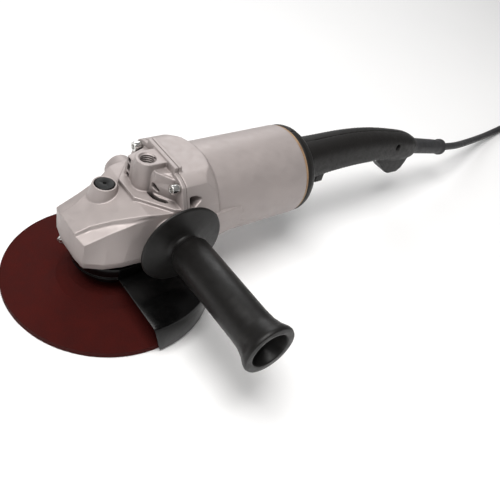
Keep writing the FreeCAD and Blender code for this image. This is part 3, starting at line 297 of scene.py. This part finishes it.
finishes = {
    # cast aluminium carries painted shade in its deep corners, reaching 11 mm
    "cast_aluminium": metalFinish("castAluminium", (0.375, 0.334, 0.324), (0.41, 0.363, 0.351), 0.5, 1500,
                                  0.00006, 0.0, metallic=0.4, paintedShadeReach=0.011),
    "abrasive": abrasiveFinish(),
    "black_steel": plasticFinish("guardPaint", (0.0012, 0.0012, 0.0012), (0.0022, 0.0022, 0.0022), 0.22, 500,
                                 0.00001, 0.0005, gloss=0.22),
    "flange_steel": metalFinish("blackenedSteel", (0.06, 0.06, 0.06), (0.11, 0.105, 0.1), 0.42),
    "machined_steel": metalFinish("groundSteel", (0.42, 0.42, 0.43), (0.58, 0.58, 0.6), 0.28),
    "gear_steel": metalFinish("gearSteel", (0.3, 0.3, 0.31), (0.44, 0.44, 0.46), 0.3),
    "bearing_steel": metalFinish("bearingSteel", (0.5, 0.5, 0.52), (0.68, 0.68, 0.7), 0.2),
    "bush_bronze": metalFinish("bushBronze", (0.5, 0.31, 0.14), (0.66, 0.44, 0.2), 0.4),
    "zinc_screws": metalFinish("brightZinc", (0.55, 0.55, 0.54), (0.74, 0.74, 0.72), 0.22, 900, 0.00002,
                               0.0002),
    "spring_steel": metalFinish("springWire", (0.4, 0.4, 0.42), (0.56, 0.56, 0.58), 0.25, rounding=0.0),
    "button_plastic": plasticFinish("buttonPlastic", (0.0025, 0.0025, 0.0025), (0.005, 0.005, 0.005), 0.42,
                                    gloss=0.2),
    "handle_plastic": plasticFinish("handlePlastic", (0.0068, 0.0061, 0.0057), (0.0095, 0.0085, 0.0079), 0.5,
                                    1300, 0.00005, 0.0006),
    "grip_plastic": plasticFinish("gripPlastic", (0.0055, 0.005, 0.0047), (0.0075, 0.0068, 0.0064), 0.42,
                                  1600, 0.00002, 0.0006),
    "inner_plastic": plasticFinish("innerPlastic", (0.04, 0.04, 0.045), (0.07, 0.07, 0.08), 0.5),
    "fan_plastic": plasticFinish("fanPlastic", (0.05, 0.05, 0.05), (0.09, 0.09, 0.09), 0.42),
    "electrical_steel": laminatedFinish("laminations"),
    "copper_wire": coilFinish("copperWire", (0.25, 0.08, 0.03), (0.62, 0.27, 0.12)),
    "commutator_copper": metalFinish("turnedCopper", (0.52, 0.25, 0.13), (0.72, 0.38, 0.22), 0.25),
    "brass_box": metalFinish("stampedBrass", (0.55, 0.4, 0.17), (0.74, 0.57, 0.28), 0.3),
    "carbon": plasticFinish("pressedCarbon", (0.025, 0.025, 0.027), (0.045, 0.045, 0.048), 0.55),
    "gasket_fibre": plasticFinish("gasketFibre", (0.22, 0.13, 0.07), (0.38, 0.26, 0.16), 0.5),
    "cord_rubber": plasticFinish("cordRubber", (0.028, 0.028, 0.03), (0.042, 0.042, 0.045), 0.52, 1800,
                                 0.00003, 0.0),
    "plug_plastic": plasticFinish("plugPlastic", (0.02, 0.02, 0.02), (0.032, 0.032, 0.032), 0.42),
    "pin_brass": metalFinish("nickelPin", (0.52, 0.5, 0.46), (0.7, 0.68, 0.63), 0.22),
}
slotOf = {part["node"]: part["material_slot"] for part in frame["record"]["subparts"]}


def dress(piece, slot):
    piece.data.materials.clear()
    piece.data.materials.append(finishes[slot])


for name, node in nodes.items():
    dress(node, slotOf[name])
dress(powerCord, "cord_rubber")
print("finishes made:", len(finishes))


# ---- ways of making a piece
def addPiece(name, mesh, body, slot, *replaced):
    piece = bpy.data.objects.new(name, mesh)
    bpy.context.scene.collection.objects.link(piece)
    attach(piece, body)
    if replaced:
        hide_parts(*replaced)
    dress(piece, slot)
    return piece


def smoothByAngle(mesh, degrees):
    for polygon in mesh.polygons:
        polygon.use_smooth = True
    limit = math.radians(degrees)
    made = bmesh.new()
    made.from_mesh(mesh)
    for edge in made.edges:
        edge.smooth = len(edge.link_faces) != 2 or edge.calc_face_angle(0) < limit
    made.to_mesh(mesh)
    made.free()


def copied(nodeName):
    piece = bpy.data.objects.new(nodeName + "Shape", nodes[nodeName].data.copy())
    bpy.context.scene.collection.objects.link(piece)
    return piece


def applied(piece):
    bpy.context.view_layer.update()
    evaluated = piece.evaluated_get(bpy.context.evaluated_depsgraph_get())
    mesh = bpy.data.meshes.new_from_object(evaluated)
    bpy.data.objects.remove(piece)
    return mesh


def softened(nodeName, voxel, rounds, keep):
    piece = copied(nodeName)
    remesh = piece.modifiers.new("remesh", "REMESH")
    remesh.mode = "VOXEL"
    remesh.voxel_size = voxel
    relax = piece.modifiers.new("relax", "SMOOTH")
    relax.factor = 0.5
    relax.iterations = rounds
    thin = piece.modifiers.new("thin", "DECIMATE")
    thin.ratio = keep
    shape = applied(piece)
    for polygon in shape.polygons:
        polygon.use_smooth = True
    return shape


def lathe(profile, segments, smoothBelow):
    made = bmesh.new()
    rings = []
    for radius, height in profile:
        ring = []
        for i in range(segments):
            turn = 2 * math.pi * i / segments
            ring.append(made.verts.new((radius * math.cos(turn), radius * math.sin(turn), height)))
        rings.append(ring)
    for k in range(len(rings)):  # the profile is a closed outline
        first, second = rings[k], rings[(k + 1) % len(rings)]
        for i in range(segments):
            j = (i + 1) % segments
            made.faces.new((first[i], first[j], second[j], second[i]))
    bmesh.ops.recalc_face_normals(made, faces=made.faces)
    mesh = bpy.data.meshes.new("turned")
    made.to_mesh(mesh)
    made.free()
    smoothByAngle(mesh, smoothBelow)
    return mesh


def rounded(profile, radius, steps):
    points = [Vector((p[0], p[1])) for p in profile]
    out = []
    for i, p in enumerate(points):  # each corner becomes a short arc
        before, after = points[i - 1] - p, points[(i + 1) % len(points)] - p
        cut = min(radius, before.length * 0.45, after.length * 0.45)  # so that two arcs never meet
        a, b = p + before.normalized() * cut, p + after.normalized() * cut
        for k in range(steps + 1):
            t = k / steps
            out.append(tuple(a * (1 - t) ** 2 + p * 2 * t * (1 - t) + b * t * t))
    return out


edgeValues = {"weldWithin": 0.000002, "flatWithin": 0.5, "segments": 2, "breakAbove": 32, "smoothBelow": 40}


def edged(nodeName, width, v=edgeValues):
    piece = copied(nodeName)
    made = bmesh.new()
    made.from_mesh(piece.data)
    bmesh.ops.remove_doubles(made, verts=made.verts, dist=v["weldWithin"])
    flat = math.radians(v["flatWithin"])
    bmesh.ops.dissolve_limit(made, angle_limit=flat, verts=made.verts, edges=made.edges)
    made.to_mesh(piece.data)
    made.free()
    bevel = piece.modifiers.new("bevel", "BEVEL")
    bevel.width = width
    bevel.segments = v["segments"]
    bevel.limit_method = "ANGLE"
    bevel.angle_limit = math.radians(v["breakAbove"])
    bevel.use_clamp_overlap = True
    shape = applied(piece)
    smoothByAngle(shape, v["smoothBelow"])
    return shape


def addTo(mesh, extra):
    made = bmesh.new()
    made.from_mesh(mesh)
    made.from_mesh(extra)
    made.to_mesh(mesh)
    made.free()


def threadMesh(centre, top, major, minor, pitch, turns, segments=40):
    made = bmesh.new()
    count = int(turns * segments)
    rows = []
    for i in range(count + 1):
        turn = 2 * math.pi * i / segments
        height = top - pitch * i / segments
        row = []
        # one turn's outline: from the root to the crest and back
        for radius, share in ((major, 0.46), (minor, 0.08), (minor, -0.08), (major, -0.46)):
            x, y = centre[0] + radius * math.cos(turn), centre[1] + radius * math.sin(turn)
            row.append(made.verts.new((x, y, height + pitch * share)))
        rows.append(row)
    for a, b in zip(rows, rows[1:]):
        for k in range(3):
            made.faces.new((a[k], a[k + 1], b[k + 1], b[k]))
    mesh = bpy.data.meshes.new("thread")
    made.to_mesh(mesh)
    made.free()
    return mesh


# ---- gear head casting, with the cut thread in its top hole
gearHeadValues = {"voxel": 0.00052, "rounds": 2, "keep": 0.62, "threadCentre": (0.025, 0),
                  "threadTop": 0.1238, "threadMajor": 0.0070, "threadMinor": 0.0060, "threadPitch": 0.002,
                  "threadTurns": 8}


def makeGearHead(v):
    shape = softened("gear_housing", v["voxel"], v["rounds"], v["keep"])
    addTo(shape, threadMesh(v["threadCentre"], v["threadTop"], v["threadMajor"], v["threadMinor"],
                            v["threadPitch"], v["threadTurns"]))
    addPiece("gearHousing", shape, "housing", "cast_aluminium", "gear_housing")
    print("gear head cast:", len(shape.polygons), "faces")


makeGearHead(gearHeadValues)

# ---- motor housing casting
motorHousingValues = {"voxel": 0.0007, "rounds": 2, "keep": 0.78, "barrelRadius": 0.043, "axisHeight": 0.0783,
                      "barrelStart": 0.0775, "barrelEnd": 0.1755, "reach": 0.0006}


def makeMotorHousing(v):
    shape = softened("motor_housing", v["voxel"], v["rounds"], v["keep"])
    for vertex in shape.vertices:  # the turned barrel is brought back to a true cylinder
        if not v["barrelStart"] < vertex.co.x < v["barrelEnd"]:
            continue
        y, z = vertex.co.y, vertex.co.z - v["axisHeight"]
        radius = math.hypot(y, z)
        if abs(radius - v["barrelRadius"]) < v["reach"]:
            scale = v["barrelRadius"] / radius
            vertex.co.y, vertex.co.z = y * scale, v["axisHeight"] + z * scale
    addPiece("motorHousing", shape, "housing", "cast_aluminium", "motor_housing")
    print("motor housing cast:", len(shape.polygons), "faces")


makeMotorHousing(motorHousingValues)

# ---- rear handle halves, moulded with small raised grip dots
handleValues = {"voxel": 0.0007, "rounds": 3, "keep": 0.8, "dotRadius": 0.00055, "dotHeight": 0.00028,
                "dotSides": 7, "pitch": 0.0042, "from": 0.206, "to": 0.352, "low": 0.050, "high": 0.106,
                "margin": 0.45, "clearOfSeam": 0.008, "castFrom": 0.06}


def addDot(made, place, normal, v):
    turn = normal.to_track_quat("Z", "Y")
    sides = v["dotSides"]
    tip = made.verts.new(place + normal * v["dotHeight"])
    rings = []
    for share, height in ((0.62, 0.72), (1.0, -0.3)):  # the crown's ring, then the foot sunk in the skin
        ring = []
        for n in range(sides):
            a = 2 * math.pi * n / sides
            reach = share * v["dotRadius"]
            offset = Vector((math.cos(a) * reach, math.sin(a) * reach, height * v["dotHeight"]))
            ring.append(made.verts.new(place + turn @ offset))
        rings.append(ring)
    for n in range(sides):
        m = (n + 1) % sides
        made.faces.new((tip, rings[0][n], rings[0][m]))
        made.faces.new((rings[0][n], rings[1][n], rings[1][m], rings[0][m]))


def gripDots(shape, side, v):
    corners = [p.co[:] for p in shape.vertices]
    tree = BVHTree.FromPolygons(corners, [tuple(f.vertices) for f in shape.polygons])
    made = bmesh.new()
    columns = int((v["to"] - v["from"]) / v["pitch"])
    rows = int((v["high"] - v["low"]) / (v["pitch"] * 0.5))
    for i in range(columns):
        for k in range(rows):
            x = v["from"] + v["pitch"] * (i + 0.5 * (k % 2))
            start = Vector((x, side * v["castFrom"], v["low"] + v["pitch"] * 0.5 * k))
            hit, normal = tree.ray_cast(start, Vector((0, -side, 0)))[:2]
            if hit is None or abs(normal.y) < v["margin"] or abs(hit.y) < v["clearOfSeam"]:
                continue
            if normal.y * side < 0:
                normal = -normal
            addDot(made, hit, normal, v)
    for face in made.faces:
        face.smooth = True
    mesh = bpy.data.meshes.new("dots")
    made.to_mesh(mesh)
    made.free()
    return mesh


def makeHandle(v):
    for side, nodeName, pieceName in ((-1, "rear_handle_left", "handleLeft"),
                                      (1, "rear_handle_right", "handleRight")):
        shape = softened(nodeName, v["voxel"], v["rounds"], v["keep"])
        addTo(shape, gripDots(shape, side, v))
        addPiece(pieceName, shape, "housing", "handle_plastic", nodeName)
        print("handle half moulded:", len(shape.polygons), "faces")


makeHandle(handleValues)

# ---- grinding wheel, turned with rounded edges
wheelValues = {"bore": 0.0111, "hubUnder": 0.007, "hubInner": 0.034, "hubOuter": 0.043, "radius": 0.090,
               "underside": -0.001, "top": 0.005, "hubTop": 0.013, "edge": 0.0007, "edgeSteps": 4,
               "slopeOffset": 0.001, "segments": 180, "smoothBelow": 35}


def makeWheel(v):
    profile = rounded([
        (v["bore"], v["hubUnder"]), (v["hubInner"], v["hubUnder"]), (v["hubOuter"], v["underside"]),
        (v["radius"], v["underside"]), (v["radius"], v["top"]), (v["hubOuter"] + v["slopeOffset"], v["top"]),
        (v["hubInner"] + v["slopeOffset"], v["hubTop"]), (v["bore"], v["hubTop"])], v["edge"], v["edgeSteps"])
    mesh = lathe(profile, v["segments"], v["smoothBelow"])
    addPiece("grindingWheel", mesh, "spindle_group", "abrasive", "grinding_wheel")
    print("grinding wheel turned")


makeWheel(wheelValues)

# ---- pieces that keep their drawn shape and only have their edges broken
edgeWidths = {
    "wheel_guard": 0.00035, "bearing_box": 0.0005, "head_screws": 0.0003, "bearing_box_screws": 0.0002,
    "inner_flange": 0.0003, "lock_nut": 0.0003, "guard_clamp_band": 0.0003, "guard_clamp_screw": 0.0002,
    "guard_clamp_nut": 0.0002, "side_handle_washer": 0.0002, "rear_gasket": 0.0003, "trigger": 0.0008,
    "lock_off_lever": 0.0006, "lock_button": 0.0003, "handle_screws": 0.0002, "cord_guard": 0.0004,
    "plug_body": 0.0006, "plug_pins": 0.0004, "side_handle_grip": 0.0006, "spindle": 0.0003,
}
bodyOf = {name: body for body, names in frame["record"]["behaviour"]["bodies"].items() for name in names}


def breakEdges(widths):
    made = {}
    for nodeName, width in widths.items():
        words = nodeName.split("_")
        pieceName = words[0] + "".join(word.capitalize() for word in words[1:]) + "Edged"
        shape = edged(nodeName, width)
        made[nodeName] = addPiece(pieceName, shape, bodyOf[nodeName], slotOf[nodeName], nodeName)
    print("edges broken on", len(widths), "pieces")
    return made


edgedPieces = breakEdges(edgeWidths)

# ---- floor, lights and surroundings
studioValues = {
    "floorHeight": -0.0011,
    "floorSize": 8.0,
    "world": (0.80, 0.79, 0.78),
    "worldStrength": 0.3,
    "lights": (
        ("keyLight", (-0.35, -0.15, 1.5), (0.15, 0, 0.05), 1.0, 27, (1, 0.99, 0.98)),
        ("fillLight", (-1.3, -1.2, 0.9), (0.1, 0, 0.05), 0.9, 1.2, (1, 0.98, 0.97)),
        ("backLight", (0.9, 1.4, 1.1), (0.1, 0, 0.05), 0.9, 9, (0.98, 0.99, 1)),
    ),
}


def makeStudio(v):
    bpy.ops.mesh.primitive_plane_add(size=v["floorSize"], location=(0, 0, v["floorHeight"]))
    floor = bpy.context.object
    floor.name = "floor"
    f = Finish("paleFloor")
    f.colour(f.ramp(f.noise(2), (0.3, (0.93, 0.93, 0.93)), (0.7, (0.95, 0.95, 0.95))))
    f.shader.inputs["Roughness"].default_value = 0.9
    f.shader.inputs["Specular IOR Level"].default_value = 0.1
    floor.data.materials.append(f.material)
    world = bpy.data.worlds.new("studio")
    world.use_nodes = True
    back = world.node_tree.nodes["Background"]
    back.inputs["Color"].default_value = (*v["world"], 1)
    back.inputs["Strength"].default_value = v["worldStrength"]
    bpy.context.scene.world = world
    for name, position, target, size, power, colour in v["lights"]:
        data = bpy.data.lights.new(name, "AREA")
        data.size = size
        data.energy = power
        data.color = colour
        light = bpy.data.objects.new(name, data)
        light.location = position
        light.rotation_euler = (Vector(target) - Vector(position)).to_track_quat("-Z", "Y").to_euler()
        bpy.context.scene.collection.objects.link(light)
    bpy.context.scene.view_settings.view_transform = "Standard"


makeStudio(studioValues)
print("studio lit")
